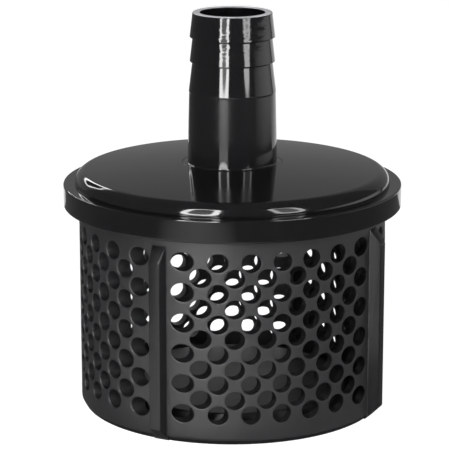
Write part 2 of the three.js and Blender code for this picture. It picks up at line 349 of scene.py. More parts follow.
def dome_edge_outline(steps=16, first=82):
    """The dome's rounded edge, from just under level to upright."""
    centre = Vector((dome_radius - dome_edge, dome_shoulder - dome_edge))
    angles = (math.radians(first * (1 - k / steps)) for k in range(steps + 1))
    return [(centre + Vector((math.cos(a), math.sin(a))) * dome_edge) * mm for a in angles]


def cap_outline():
    """The cap's section, from the hole for the tail over the dome and back along the underside."""
    outside = rounded([
        (dome_radius, rim_top, 0.15), (rim_radius, rim_top, 0.5), (rim_radius, rim_under, 0.7),
        (groove_outer, rim_under, 0.2), (groove_outer, groove_top, 0),
        (groove_inner, groove_top, 0), (groove_inner, lip_foot, 0.3), (lip_inner, lip_foot, 0.3),
        (lip_inner, ceiling, 2.0), (hub_radius, hub_under, 1.5), (tail_hole, hub_under, 0.2),
    ])
    return crown_outline() + dome_edge_outline() + outside


def boss_outline():
    """A screw boss with its blind pilot hole, its head sunk into the hub."""
    return rounded([
        (pilot_radius, boss_foot, 0.1), (boss_radius, boss_foot, 0.2), (boss_radius, boss_top, 0),
        (0, boss_top, 0), (0, pilot_top, 0), (pilot_radius, pilot_top, 0),
    ])


round_the_axis = round_the_axis_tree()
bosses = grown(round_the_axis, {
    "Count": screw_count, "Radius": boss_circle * mm, "First turn": math.pi / screw_count,
    "Finish": cap_finish,
}, turned(boss_outline(), 32))
fit("cap_moulding", joined(turned(cap_outline(), 256), bosses), cap_finish,
    "valve_body", "cap_plastic", "outlet_cap")


# Hose tail: the outlet spigot, moulded in the same gloss black plastic, with three barbs for a hose
# and a clip. It is put in from inside the cap, and its foot flange holds it there.

tail_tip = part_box("hose_tail")[1].z / mm
bore_radius = 10.7
shank_root, shank_end = 14.85, 14.3
barbs = [(105.5, 14.4, 13.23), (115.4, 14.05, 13.15), (123.4, 14.05, 13.1)]
shank_step, barb_step, collar_gap = 0.5, 0.3, 0.05
collar_radius = tail_hole - 0.06
flange_radius, flange_under, flange_top = 20.2, 73.6, 76.7
recess_radius, recess_top = 18.9, 75.6
funnel_radius, funnel_top = 15.6, 80.5
scuffed_from, scuffed_to, flow_from, flow_to, cut_and_highlight_depth = 87, 92, 115.5, 122.5, 0.15


def tail_outline():
    """The tail's section: flange, collar, shank, barbs and tip, then down the bore."""
    corners = [
        (funnel_radius, recess_top, 0.3), (recess_radius, recess_top, 0.2),
        (recess_radius, flange_under, 0.2), (flange_radius, flange_under, 0.3),
        (flange_radius, flange_top, 0.3), (collar_radius, flange_top, 0.2),
        (collar_radius, crown_top - collar_gap, 0.15), (shank_root, crown_top + collar_gap, 0.5),
        (shank_end, barbs[0][0] - shank_step, 0.15),
    ]
    for i, (z, ridge, small) in enumerate(barbs):
        last = i == len(barbs) - 1
        taper_end = tail_tip if last else barbs[i + 1][0] - barb_step
        corners += [(ridge, z, 0.18), (small, taper_end, 0.4 if last else 0.2)]
    corners += [(bore_radius, tail_tip, 0.3), (bore_radius, funnel_top, 3.0)]
    return rounded(corners)


def eased(graph, value, low, high):
    """Rises smoothly from 0 at a low value to 1 at a high one."""
    return graph.node("ShaderNodeMapRange", {"interpolation_type": "SMOOTHSTEP"}, {
        "Value": value, "From Min": low, "From Max": high,
    })()


def tail_black():
    """Gloss black plastic with the fine lines of a turned mould, flow marks near the tip, and a
    matt face where the moulding's end was cut, painted pale grey as a highlight."""
    finish, graph, place = new_finish("tail_black_plastic")
    height = graph.parts(place)("Z")
    lines = grain(graph, place, 1.0 * mm, 3.0, (0.05, 0.05, 2.2))
    ripple = grain(graph, place, 14 * mm, 1.0)
    flow = grain(graph, place, 2.4 * mm, 4.0, (0.8, 0.8, 1.3))
    marked = eased(graph, height, flow_from * mm, flow_to * mm)
    shank = height < barbs[0][0] * mm
    scuffed = shank * eased(graph, height, scuffed_from * mm, scuffed_to * mm)
    normal = bump(graph, ripple, 0.03 * mm)
    normal = bump(graph, lines * scuffed, 0.012 * mm, normal)
    normal = bump(graph, flow * marked, 0.07 * mm, normal)
    # The cut face at the tip is matt, and its pale grey colour is a painted highlight.
    cut = height > (tail_tip - cut_and_highlight_depth) * mm
    shade = tint(graph, cut, (0.005, 0.005, 0.0055), (0.6, 0.6, 0.62))
    surface(graph, {
        "Base Color": shade, "IOR": 1.5, "Normal": normal,
        "Roughness": lines * 0.06 + scuffed * 0.13 + cut * 0.4 + 0.04,
    })
    return finish


fit("tail_moulding", turned(tail_outline(), 160), tail_black(),
    "valve_body", "tail_plastic", "hose_tail", crease=40)


# Tail and cage gaskets: two flat rings cut from black rubber sheet. One seals the tail's flange to
# the cap, and the other seals the cage to the tail.

def cut_rubber():
    """Matt black rubber sheet with a fine open grain."""
    finish, graph, place = new_finish("black_rubber")
    fine = grain(graph, place, 0.25 * mm, 4.0)
    shade = tint(graph, fine, (0.008, 0.008, 0.008), (0.02, 0.02, 0.02))
    surface(graph, {
        "Base Color": shade, "Roughness": fine * 0.15 + 0.65,
        "Normal": bump(graph, fine, 0.02 * mm),
    })
    return finish


def ring_outline(node, inner, fillet):
    """A flat ring's section, its height and outer edge those of the CAD node."""
    low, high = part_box(node)
    outer, under, top = high.x / mm, low.z / mm, high.z / mm
    return rounded([
        (inner, under, fillet), (outer, under, fillet), (outer, top, fillet), (inner, top, fillet),
    ], 3)


rubber = cut_rubber()
gasket_edge, tail_gasket_inner, cage_inside = 0.12, tail_hole + 0.3, 17.5
fit("tail_gasket_ring", turned(ring_outline("tail_gasket", tail_gasket_inner, gasket_edge)),
    rubber, "valve_body", "seal_rubber", "tail_gasket")
fit("cage_gasket_ring", turned(ring_outline("cage_gasket", cage_inside, gasket_edge)),
    rubber, "valve_body", "seal_rubber", "cage_gasket")


# Stem guide: a small spider moulded in satin black plastic, a ring and a hub joined by three arms,
# which drops into the tail's flange. A white acetal bush in its hub carries the stem.

guide_low, guide_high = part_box("stem_guide")
bush_low, bush_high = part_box("stem_bush")
guide_ring_inner, guide_ring_high = 16.0, 75.3
hub_bore, hub_outside = 3.6, 5.8
arm_count, arm_width, arm_height, arm_sunk = 3, 1.8, 1.4, 0.6
bush_bore, bush_outside, bush_flange = 2.2, 3.3, 0.6


def cage_satin():
    """Satin black plastic of the inner mouldings, a little coarser than the basket's."""
    finish, graph, place = new_finish("cage_satin_plastic")
    fine = grain(graph, place, 0.3 * mm, 3.0)
    cloud = grain(graph, place, 7 * mm, 3.0)
    shade = tint(graph, cloud, (0.013, 0.013, 0.014), (0.026, 0.026, 0.027))
    surface(graph, {
        "Base Color": shade, "Roughness": cloud * 0.12 + 0.38, "IOR": 1.5,
        "Normal": bump(graph, fine, 0.02 * mm),
    })
    return finish


def white_acetal():
    """Natural acetal, turned from bar: off-white and a little waxy, with fine turning lines."""
    finish, graph, place = new_finish("white_acetal")
    cloud = grain(graph, place, 5 * mm, 2.0)
    lines = grain(graph, place, 0.4 * mm, 2.0, (0.05, 0.05, 1.0))
    shade = tint(graph, cloud, (0.62, 0.6, 0.53), (0.73, 0.71, 0.65))
    surface(graph, {
        "Base Color": shade, "Roughness": lines * 0.15 + 0.3, "IOR": 1.48,
        "Normal": bump(graph, lines, 0.006 * mm),
    })
    return finish


def arm_mesh():
    """One arm of the spider, drawn along +X from inside the hub to inside the ring."""
    body = bmesh.new()
    half, foot = arm_width / 2, guide_low.z / mm
    top = foot + arm_height
    rings = []
    for radius in (hub_outside - arm_sunk, guide_ring_inner + arm_sunk):
        corners = [(-half, foot), (half, foot), (half, top), (-half, top)]
        rings.append([body.verts.new(Vector((radius, y, z)) * mm) for y, z in corners])
        body.faces.new(rings[-1])
    join_rings(body, *rings)
    long_edges = [e for e in body.edges if abs(e.verts[0].co.x - e.verts[1].co.x) > mm]
    bmesh.ops.bevel(body, geom=long_edges, offset=0.25 * mm, segments=2, profile=0.5,
                    affect="EDGES")
    return closed(body)


inner_black, acetal = cage_satin(), white_acetal()
guide_foot, guide_radius, hub_top = guide_low.z / mm, guide_high.x / mm, guide_high.z / mm
guide_ring = turned(rounded([
    (guide_ring_inner, guide_foot, 0.25), (guide_radius, guide_foot, 0.25),
    (guide_radius, guide_ring_high, 0.25), (guide_ring_inner, guide_ring_high, 0.25),
], 3), 96)
hub = turned(rounded([
    (hub_bore, guide_foot, 0.25), (hub_outside, guide_foot, 0.25),
    (hub_outside, hub_top, 0.3), (hub_bore, hub_top, 0.2),
], 3), 64)
arms = grown(round_the_axis, {
    "Count": arm_count, "Radius": 0.0, "First turn": math.pi / 2, "Finish": inner_black,
}, arm_mesh())
fit("guide_spider", joined(guide_ring, hub, arms), inner_black,
    "valve_body", "cage_plastic", "stem_guide")
bush_foot, bush_top, flange_edge = bush_low.z / mm, bush_high.z / mm, bush_high.x / mm
fit("guide_bushing", turned(rounded([
    (bush_bore, bush_foot, 0.2), (bush_outside, bush_foot, 0.2),
    (bush_outside, bush_top - bush_flange, 0), (flange_edge, bush_top - bush_flange, 0.12),
    (flange_edge, bush_top, 0.12), (bush_bore, bush_top, 0.2),
], 3), 64), acetal, "valve_body", "acetal", "stem_bush")


# Poppet: a white acetal disc and a rubber seal clamped between a washer and a nut on a stainless
# bolt. It is the one part that moves: it lifts off the cage's seat when water is drawn up.

def bright_steel():
    """Bright stainless steel with fine turning lines and a little tarnish."""
    finish, graph, place = new_finish("bright_stainless")
    lines = grain(graph, place, 0.25 * mm, 2.0, (0.1, 0.1, 1.0))
    cloud = grain(graph, place, 3 * mm, 3.0)
    shade = tint(graph, cloud, (0.52, 0.52, 0.525), (0.64, 0.64, 0.645))
    surface(graph, {
        "Base Color": shade, "Metallic": 1.0, "Roughness": lines * 0.14 + cloud * 0.1 + 0.14,
        "Normal": bump(graph, lines, 0.004 * mm),
    })
    return finish


def six_sided(mesh, flat, corner, low, high):
    """Pares what lies between two heights, and no further out than corner, to a hexagon."""
    for vertex in mesh.vertices:
        x, y, z = vertex.co / mm
        radius = math.hypot(x, y)
        if low - 0.01 < z < high + 0.01 and radius < corner + 0.01:
            turn = math.atan2(x, y) % (math.pi / 3) - math.pi / 6
            share = min(1, flat / math.cos(turn) / max(radius, 0.001))
            vertex.co.x *= share
            vertex.co.y *= share
    return mesh


def flat_ring(node, fillet, around=96):
    """A turned ring with the stem's hole through it, its other sizes those of the CAD node."""
    return turned(ring_outline(node, stem_hole, fillet), around)


stem_hole, stem_radius, stem_point, head_height = 2.2, 1.9, 0.8, 2.0
disc_chamfer_high, disc_chamfer_wide = 0.8, 1.2
chamfer_inside, head_chamfer, nut_chamfer = 0.86, 0.3, 0.35
disc_low, disc_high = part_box("poppet_disc")
bolt_low, bolt_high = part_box("stem_bolt")
nut_low, nut_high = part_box("stem_nut")
stainless = bright_steel()
disc_radius, disc_foot, disc_top = disc_high.x / mm, disc_low.z / mm, disc_high.z / mm
fit("poppet_plate", turned(rounded([
    (stem_hole, disc_foot, 0.15), (disc_radius, disc_foot, 0.2),
    (disc_radius, disc_top - disc_chamfer_high, 0.2),
    (disc_radius - disc_chamfer_wide, disc_top, 0.3), (stem_hole, disc_top, 0.15),
], 3), 96), acetal, "poppet", "acetal", "poppet_disc")
fit("seal_ring", flat_ring("poppet_seal", 0.3), rubber, "poppet", "seal_rubber", "poppet_seal")
fit("clamp_washer", flat_ring("seal_washer", 0.15, 64), stainless,
    "poppet", "stainless_steel", "seal_washer")
bolt_foot, bolt_top, head_corner = bolt_low.z / mm, bolt_high.z / mm, bolt_high.y / mm
head_top = bolt_foot + head_height
bolt = turned(rounded([
    (0, bolt_foot, 0), (head_corner * chamfer_inside, bolt_foot, 0.1),
    (head_corner, bolt_foot + head_chamfer, 0.1), (head_corner, head_top, 0.1),
    (stem_radius, head_top, 0.15), (stem_radius, bolt_top - stem_point, 0.2),
    (stem_radius - stem_point, bolt_top, 0.1), (0, bolt_top, 0),
], 3), 72)
head_flat = head_corner * math.cos(math.pi / 6)
fit("stem_and_head", six_sided(bolt, head_flat, head_corner, bolt_foot, head_top),
    stainless, "poppet", "stainless_steel", "stem_bolt")
nut_foot, nut_top, nut_corner = nut_low.z / mm, nut_high.z / mm, nut_high.y / mm
nut = turned(rounded([
    (stem_hole, nut_foot, 0.2), (nut_corner * chamfer_inside, nut_foot, 0.1),
    (nut_corner, nut_foot + nut_chamfer, 0.1), (nut_corner, nut_top - nut_chamfer, 0.1),
    (nut_corner * chamfer_inside, nut_top, 0.1), (stem_hole, nut_top, 0.2),
], 3), 72)
fit("clamp_nut", six_sided(nut, nut_high.x / mm, nut_corner, nut_foot, nut_top),
    stainless, "poppet", "stainless_steel", "stem_nut")


# Return spring: stainless wire coiled round the stem, its end turns closed up flat. It presses the
# poppet onto its seat, and in the valve it is shortened between the nut and the stem guide as the
# poppet lifts; here it is built at its rest length and stays so.

def spring_tree():
    """Wire swept along a coil whose end turns lie flat."""
    tree, graph, given = new_tree("coil_spring", {
        "Turns": "Float", "End turns": "Float", "Radius": "Float", "Wire radius": "Float",
        "Foot": "Float", "Height": "Float", "Points": "Int", "Finish": "Material",
    })
    points = given("Points")
    line = graph.node("GeometryNodeMeshLine", None, {"Count": points, "Offset": (0, 0, 0)})()
    turns = graph.node("GeometryNodeInputIndex")() / (points - 1) * given("Turns")
    angle = turns * (2 * math.pi)
    ends, wire_radius = given("End turns"), given("Wire radius")
    first_end = (turns / ends).math("MINIMUM", 1)
    last_end = ((turns - given("Turns")) / ends + 1).math("MAXIMUM", 0)
    free = ((turns - ends) / (given("Turns") - ends * 2)).math("MAXIMUM", 0).math("MINIMUM", 1)
    lead = wire_radius * closed_lead
    height = given("Foot") + wire_radius + (first_end + last_end) * lead
    height = height + free * (given("Height") - wire_radius * 2 - lead * 2)
    radius = given("Radius")
    place = graph.vector(radius * angle.math("COSINE"), radius * angle.math("SINE"), height)
    coil = graph.node("GeometryNodeSetPosition", None, {"Geometry": line, "Position": place})()
    path = graph.node("GeometryNodeMeshToCurve", None, {"Mesh": coil})()
    section = graph.node("GeometryNodeCurvePrimitiveCircle", None, {
        "Resolution": 10, "Radius": wire_radius,
    })()
    swept_wire = graph.node("GeometryNodeCurveToMesh", None, {
        "Curve": path, "Profile Curve": section, "Fill Caps": True,
    })()
    end_tree(graph, swept_wire, given("Finish"))
    return tree


def drawn_wire():
    """Drawn stainless wire, duller than turned steel, with faint die marks."""
    finish, graph, place = new_finish("drawn_spring_wire")
    marks = grain(graph, place, 0.3 * mm, 3.0, (1, 1, 2.5))
    shade = tint(graph, marks, (0.44, 0.45, 0.46), (0.58, 0.59, 0.6))
    surface(graph, {
        "Base Color": shade, "Metallic": 1.0, "Roughness": marks * 0.16 + 0.22,
        "Normal": bump(graph, marks, 0.003 * mm),
    })
    return finish


spring_low, spring_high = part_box("return_spring")
wire_radius, closed_lead = 0.3, 2.2
spring_length = spring_high.z - spring_low.z
spring_finish = drawn_wire()
coiled = grown(spring_tree(), {
    "Turns": 4.5, "End turns": 0.85, "Radius": spring_high.x - wire_radius * mm,
    "Wire radius": wire_radius * mm, "Foot": spring_low.z, "Height": spring_length, "Points": 163,
    "Finish": spring_finish,
})
spring = fit("coil_spring", coiled, spring_finish, "valve_body", "spring_steel", "return_spring")
lift = next(joint["range_m"][1] for joint in frame["joints"] if joint["name"] == "poppet_lift")
1 - lift / spring_length
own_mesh(spring)


# Valve cage: a cup moulded in satin black plastic that hangs under the tail's flange. Its floor has
# the raised seat that the poppet closes on, and its rim is drilled for six screws.

cage_low, cage_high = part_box("valve_cage")
cage_foot, cage_top, cage_rim = cage_low.z / mm, cage_high.z / mm, cage_high.x / mm
port_radius, cup_radius, cup_floor, flange_foot = 10, 20, 60.3, 69.6
seat_inner, seat_outer, seat_root, seat_top, seat_ease = 10.4, 11.4, 12, 61.3, 0.4
drill_depth = 12


def bolt_holes_tree():
    """Round holes cut through a mesh on a bolt circle."""
    tree, graph, given = new_tree("bolt_holes", {
        "Count": "Int", "Circle": "Float", "First turn": "Float", "Hole radius": "Float",
        "Height": "Float", "Depth": "Float", "Finish": "Material",
    })
    drill = graph.node("GeometryNodeMeshCylinder", None, {
        "Vertices": 32, "Radius": given("Hole radius"), "Depth": given("Depth"),
    })("Mesh")
    drill = graph.node("GeometryNodeTransform", None, {
        "Geometry": drill, "Translation": graph.vector(given("Circle"), 0, given("Height")),
    })()
    cut = graph.node("GeometryNodeMeshBoolean", {"operation": "DIFFERENCE"}, {
        "Mesh 1": given("Geometry"),
        "Mesh 2": turned_copies(graph, drill, given("Count"), given("First turn")),
    })("Mesh")
    end_tree(graph, cut, given("Finish"))
    return tree


undrilled = turned(rounded([
    (port_radius, cage_foot, 0.3), (cup_radius - 1, cage_foot, 0.3),
    (cup_radius, cage_foot + 1, 0.3), (cup_radius, flange_foot, 0.4),
    (cage_rim, flange_foot, 0.3), (cage_rim, cage_top, 0.3), (cage_inside, cage_top, 0.2),
    (cage_inside, cup_floor, 0.3), (seat_root, cup_floor, 0.2), (seat_outer, seat_top, 0.15),
    (seat_inner, seat_top, 0.15), (port_radius, seat_top - seat_ease, 0.1),
], 3), 128)
drilled = grown(bolt_holes_tree(), {
    "Count": screw_count, "Circle": boss_circle * mm, "First turn": math.pi / screw_count,
    "Hole radius": pilot_radius * mm, "Height": cage_high.z, "Depth": drill_depth * mm,
    "Finish": inner_black,
}, undrilled)
fit("cage_cup", drilled, inner_black, "valve_body", "cage_plastic", "valve_cage")


# Cage screws: six stainless socket screws put in from below, which clamp the cage and both gaskets
# up against the cap's bosses.

screw_low, screw_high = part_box("cage_screw_1")
screw_foot, screw_tip = screw_low.z / mm, screw_high.z / mm
screw_head = (screw_high.x - screw_low.x) / 2 / mm
screw_seat, screw_chamfer, thread_radius, thread_end = 69.3, 0.5, 1.5, 77.6
socket_corner, socket_depth = 1.45, 1.0
socket_flat, socket_end = socket_corner * math.cos(math.pi / 6), screw_foot + socket_depth
screw = six_sided(turned(rounded([
    (0, socket_end, 0), (socket_corner, socket_end, 0), (socket_corner, screw_foot, 0),
    (screw_head - screw_chamfer, screw_foot, 0.15), (screw_head, screw_foot + screw_chamfer, 0.15),
    (screw_head, screw_seat, 0.12), (thread_radius, screw_seat, 0.1),
    (thread_radius, thread_end, 0.1), (0, screw_tip, 0),
], 3), 48), socket_flat, socket_corner, screw_foot, socket_end)
screws = grown(round_the_axis, {
    "Count": screw_count, "Radius": boss_circle * mm, "First turn": math.pi / screw_count,
    "Finish": stainless,
}, screw)
fit("socket_screws", screws, stainless, "valve_body", "stainless_steel",
    *(f"cage_screw_{k + 1}" for k in range(screw_count)))


# Strainer basket: one moulding in satin black plastic. Its holes are drawn straight out towards its
# four sides, a rib covers each parting line, and its bead snaps into the cap's groove.

basket_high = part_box("strainer_basket")[1]
bead_proud, wall_thick = 0.5, 4
wall_radius = basket_high.x / mm - bead_proud
wall_inside = wall_radius - wall_thick
hole_rows, hole_columns = 11, 13
half_pitch, hole_radius, hole_round = 5.0, 3.05, 0.22
lowest_row = 10.0
panel_corner = 32.9
quadrants = 4
bead_foot, bead_low, bead_high, bead_top = 69.0, 69.6, 70.4, 71.0
foot_chamfer_high, foot_chamfer_wide = 2.0, 1.1
hollow_low, hollow_high, hollow_top = 35.6, 35.0, 3.4
basket_floor, dish_low, dish_high, dish_top = 3.0, 39.0, 38.0, 6.4
rib_root, rib_proud, rib_half_root, rib_half_face = 0.9, 3.7, 2.6, 1.9
rib_slope_foot, rib_slope_top, rib_top, rib_ease = 4.4, 59.7, 64.7, 0.35


def perforated_wall_tree():
    """The wall as diamond cells with a hole each, laid flat in a grid, bent, and turned to its
    four sides."""
    tree, graph, given = new_tree("perforated_wall", {
        "Rows": "Int", "Columns": "Int", "Half pitch": "Float", "Hole radius": "Float",
        "Edge round": "Float", "Lowest row": "Float", "Inner radius": "Float",
        "Outer radius": "Float", "Corner": "Float", "Spokes": "Int", "Sides": "Int",
        "Finish": "Material",
    })
    pitch, wall = given("Half pitch"), given("Outer radius") - given("Inner radius")

    def position():
        here = graph.parts(graph.node("GeometryNodeInputPosition")())
        return here("X"), here("Y"), here("Z")

    def moved(geometry, x, y, z):
        return graph.node("GeometryNodeSetPosition", None, {
            "Geometry": geometry, "Position": graph.vector(x, y, z),
        })()

    def cell(rings, radius_and_depth):
        """A strip of spokes by rings, curled into a diamond. Depth is 0 inside the wall and 1
        outside."""
        strip = graph.node("GeometryNodeMeshGrid", None, {
            "Size X": 1, "Size Y": 1, "Vertices X": given("Spokes") + 1, "Vertices Y": rings,
        })()
        across, along, _ = position()
        angle = (across + 0.5) * (2 * math.pi)
        ring = (along + 0.5) * (rings - 1)
        cosine, sine = angle.math("COSINE"), angle.math("SINE")
        diamond = pitch / (cosine.math("ABSOLUTE") + sine.math("ABSOLUTE"))
        radius, depth = radius_and_depth(ring, diamond)
        return moved(strip, cosine * radius, sine * radius, depth)

    def pierced(ring, diamond):
        """Inner face, straight hole wall, rounded outer edge, a narrow flat and outer face."""
        swing = ((ring - 2) / 2).math("MAXIMUM", 0).math("MINIMUM", 1) * (math.pi / 2)
        edge = given("Edge round")
        radius = given("Hole radius") + edge * (1 - swing.math("COSINE"))
        radius = radius + (ring > 4.5) * edge * 0.8
        ends = (ring > 5.5) + (ring < 0.5)
        depth = (ring > 1.5) * (1 - edge * (1 - swing.math("SINE")) / wall)
        return radius * (1 - ends) + diamond * ends, depth

    def unpierced(depth):
        return cell(3, lambda ring, diamond: (diamond * ring / 2, depth))

    hole_cell = cell(7, pierced)
    blank = graph.node("GeometryNodeJoinGeometry", None, {
        "Geometry": [unpierced(1), unpierced(0)],
    })()

    size_x, size_y = (given("Columns") + 1) * pitch, (given("Rows") + 1) * pitch
    sites = graph.node("GeometryNodeMeshGrid", None, {
        "Size X": size_x, "Size Y": size_y,
        "Vertices X": given("Columns") + 2, "Vertices Y": given("Rows") + 2,
    })()
    x, y, _ = position()
    column, row = (x + size_x / 2) / pitch, (y + size_y / 2) / pitch
    even = ((column + row) + 0.5).math("MODULO", 2) < 1
    inside = x.math("ABSOLUTE") < size_x / 2 - pitch / 2
    inside = inside * (y.math("ABSOLUTE") < size_y / 2 - pitch / 2)
    cells = graph.node("GeometryNodeJoinGeometry", None, {"Geometry": [
        graph.node("GeometryNodeInstanceOnPoints", None, {
            "Points": sites, "Instance": shape, "Selection": even * chosen,
        })() for shape, chosen in ((hole_cell, inside), (blank, 1 - inside))
    ]})()
    sheet = graph.node("GeometryNodeRealizeInstances", None, {"Geometry": cells})()
    x, y, depth = position()
    outside = (x.math("ABSOLUTE") > size_x / 2) + (y.math("ABSOLUTE") > size_y / 2)
    sheet = graph.node("GeometryNodeDeleteGeometry", {"domain": "FACE"}, {
        "Geometry": sheet, "Selection": outside,
    })()

    radius = given("Inner radius") + depth * wall
    far = x.math("ABSOLUTE")
    past = graph.node("ShaderNodeMapRange", None, {
        "Value": far, "From Min": given("Corner"), "From Max": size_x / 2,
        "To Min": 0.0, "To Max": radius * math.sin(math.pi / 4) - given("Corner"),
    })()
    across = far.math("MINIMUM", given("Corner")) + past
    outwards = (radius * radius - across * across).math("SQRT")
    rise = y + size_y / 2 + given("Lowest row") - pitch
    bent = moved(sheet, outwards, across * x.math("SIGN"), rise)

    sides = turned_copies(graph, bent, given("Sides"))
    real = graph.node("GeometryNodeRealizeInstances", None, {"Geometry": sides})()
    merged = graph.node("GeometryNodeMergeByDistance", None, {
        "Geometry": real, "Distance": 0.01 * mm,
    })()
    end_tree(graph, merged, given("Finish"))
    return tree


def edge_ring(body, inside, z):
    """The wall's open edge at one height, on its inner or outer face, in order round the axis."""
    middle = (wall_radius + wall_inside) / 2 * mm
    ring = [v for v in body.verts
            if abs(v.co.z - z) < 0.01 * mm and (v.co.xy.length < middle) == inside]
    return sorted(ring, key=lambda v: math.atan2(v.co.y, v.co.x))


def swept(body, ring, outline):
    """Carries an open edge on along an outline, each point at its own angle, to the last ring."""
    for radius, z in outline:
        if radius < 1e-7:
            after = [body.verts.new((0, 0, z))] * len(ring)
        else:
            after = [body.verts.new((*(v.co.xy.normalized() * radius), z)) for v in ring]
        join_rings(body, ring, after)
        ring = after
    return ring


def basket_mesh(wall):
    """The perforated wall, with its collar and bead above and its foot and raised floor below."""
    body = bmesh.new()
    body.from_mesh(wall)
    start, end = lowest_row - half_pitch, lowest_row + hole_rows * half_pitch
    top, bead_radius = basket_high.z / mm, wall_radius + bead_proud
    collar = rounded([
        (wall_radius, end, 0), (wall_radius, bead_foot, 0.3), (bead_radius, bead_low, 0.2),
        (bead_radius, bead_high, 0.2), (wall_radius, bead_top, 0.3), (wall_radius, top, 0.3),
        (wall_inside, top, 0.3), (wall_inside, end, 0),
    ], 3)
    last = swept(body, edge_ring(body, False, end * mm), collar[1:-1])
    join_rings(body, last, edge_ring(body, True, end * mm))
    foot = rounded([
        (wall_radius, start, 0), (wall_radius, foot_chamfer_high, 0.6),
        (wall_radius - foot_chamfer_wide, 0, 0.4), (hollow_low, 0, 0.3),
        (hollow_high, hollow_top, 0.5), (0, hollow_top, 0),
    ], 4)
    swept(body, edge_ring(body, False, start * mm), foot[1:])
    floor = rounded([
        (wall_inside, start, 0), (wall_inside, basket_floor, 0.8), (dish_low, basket_floor, 0.4),
        (dish_high, dish_top, 0.6), (0, dish_top, 0),
    ], 4)
    swept(body, edge_ring(body, True, start * mm), floor[1:])
    return closed(body)


def rib_mesh():
    """A tapered rib with sloping ends, drawn at +X; its root is sunk into the wall."""
    root, face = wall_radius - rib_root, wall_radius + rib_proud
    section = [(root, 0), (face - rib_slope_foot, 0), (face, rib_slope_foot), (face, rib_slope_top),
               (wall_radius, rib_top), (root, rib_top)]
    body = bmesh.new()
    sides = []
    for way in (-1, 1):
        side = []
        for radius, z in section:
            share = (radius - root) / (face - root)
            half = rib_half_root + (rib_half_face - rib_half_root) * share
            side.append(body.verts.new(Vector((radius, way * half, z)) * mm))
        body.faces.new(side)
        sides.append(side)
    join_rings(body, *sides)
    sharp = [e for e in body.edges if min(v.co.x for v in e.verts) > (root + 0.1) * mm]
    bmesh.ops.bevel(body, geom=sharp, offset=rib_ease * mm, segments=3, profile=0.5,
                    affect="EDGES")
    return closed(body)


def satin_black():
    """Satin black plastic from a spark-eroded mould: fine grain, faint flow clouds and rubbed
    patches. The ribs are smoother and darker; the hole walls are darker and duller, which is
    painted shade."""
    finish, graph, place = new_finish("satin_black_plastic")
    fine = grain(graph, place, 0.35 * mm, 3.0)
    cloud = grain(graph, place, 16 * mm, 3.0, (1, 1, 0.6))
    scuff = grain(graph, place, 2.2 * mm, 5.0, (1, 1, 0.35))
    along = graph.parts(place)
    far = (along("X") * along("X") + along("Y") * along("Y")).math("SQRT")
    rib = far > (wall_radius + 0.3) * mm
    # The hole walls get the darkest colour and the duller shader: painted shade for the shadow
    # inside the holes.
    painted_hole_shade = (far < (wall_radius - 0.3) * mm) * (far > (wall_inside + 0.1) * mm)
    pale = (fine * 0.5 + cloud * 0.5) * (1 - rib * 0.8) * (1 - painted_hole_shade)
    shade = tint(graph, pale, (0.007, 0.0072, 0.0077), (0.02, 0.0203, 0.0213))
    normal = bump(graph, fine, 0.03 * mm, bump(graph, cloud, 0.25 * mm))
    face = graph.node("ShaderNodeBsdfPrincipled", None, {
        "Base Color": shade, "IOR": 1.5, "Specular IOR Level": 0.75, "Normal": normal,
        "Roughness": (cloud * 0.1 + scuff * 0.1) * (1 - rib * 0.8) - rib * 0.12 + 0.34,
    })()
    # A duller copy of the face's shader. It is painted shade on the hole walls, and the ribs take
    # part of it too.
    hole = graph.node("ShaderNodeBsdfPrincipled", None, {
        "Base Color": shade, "IOR": 1.5, "Specular IOR Level": 0.2, "Normal": normal,
        "Roughness": 0.55,
    })()
    both = graph.node("ShaderNodeMixShader", None, {0: painted_hole_shade + rib * 0.45, 1: face, 2: hole})()
    graph.node("ShaderNodeOutputMaterial", None, {"Surface": both})
    return finish


basket_finish = satin_black()
wall = grown(perforated_wall_tree(), {
    "Rows": hole_rows, "Columns": hole_columns, "Half pitch": half_pitch * mm,
    "Hole radius": hole_radius * mm, "Edge round": hole_round * mm,
    "Lowest row": lowest_row * mm, "Corner": panel_corner * mm, "Inner radius": wall_inside * mm,
    "Outer radius": wall_radius * mm, "Spokes": 24, "Sides": quadrants, "Finish": basket_finish,
})
ribs = grown(round_the_axis, {
    "Count": quadrants, "Radius": 0.0, "First turn": math.pi / quadrants, "Finish": basket_finish,
}, rib_mesh())
fit("basket_moulding", joined(basket_mesh(wall), ribs), basket_finish,
    "valve_body", "basket_plastic", "strainer_basket", crease=40)


# Studio: a pale floor and a dim surround, two standing light boxes with bright edges, and low
# sheets and a window that the gloss mirrors. The camera stands in front of the valve, a little to
# its left, and looks down on it.

floor_half, mirrored_from, mirrored_side = 6.0, 0.26, 0.17
floor_drop, table_rise = 0.05 * mm, 0.02 * mm
floor_shade, floor_glow = 0.2, 0.965
floor_level = cad_box[0][2] - floor_drop


def staged_sheet(name, finish, corners):
    """A flat sheet of the studio, its corners given from the lower left round."""
    mesh = bpy.data.meshes.new(name)
    mesh.from_pydata(corners, [], [(0, 1, 2, 3)])
    uv = mesh.uv_layers.new(name="UVMap")
    for loop, corner in zip(uv.data, ((0, 0), (1, 0), (1, 1), (0, 1))):
        loop.uv = corner
    mesh.materials.append(finish)
    sheet = bpy.data.objects.new(name, mesh)
    bpy.context.scene.collection.objects.link(sheet)
    return sheet


def floor_finish():
    """A pale floor that glows a little, so that shadows on it stay faint."""
    finish, graph, _ = new_finish("pale_floor")
    surface(graph, {
        "Base Color": (floor_shade, floor_shade, floor_shade, 1), "Roughness": 1.0,
        "Specular IOR Level": 0.0, "Emission Color": (1, 1, 1, 1), "Emission Strength": floor_glow,
    })
    return finish


